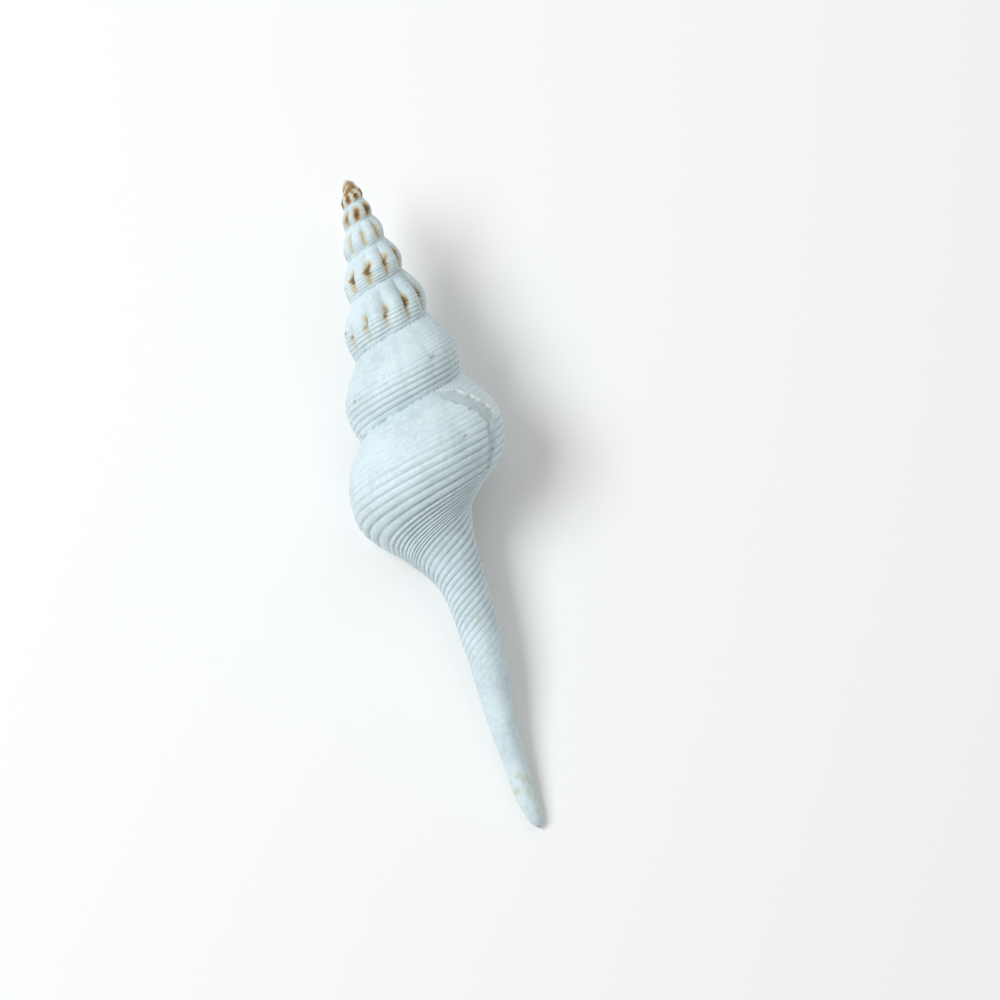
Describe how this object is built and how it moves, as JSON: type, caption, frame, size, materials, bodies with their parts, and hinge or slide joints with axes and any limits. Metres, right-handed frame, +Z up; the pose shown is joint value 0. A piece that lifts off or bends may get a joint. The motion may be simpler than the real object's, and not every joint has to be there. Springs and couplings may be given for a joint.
{
  "type": "spindle shell",
  "caption": "White spindle-shaped sea snail shell with a ribbed, brown-stained spire, a rounded corded body whorl and a long straight open canal, lying on its opening",
  "frame": {"origin": "on the surface it lies on, under the middle of the bounding box", "axes": "+Z up, +Y along the shell towards the apex, -Y towards the canal tip, +X to the right seen from above with the apex at the top"},
  "size_m": [0.038, 0.148, 0.0336],
  "materials": {
    "shell": "satin, slightly chalky shell"
  },
  "bodies": {
    "root": {"spindle_shell": "shell"}
  },
  "joints": []
}
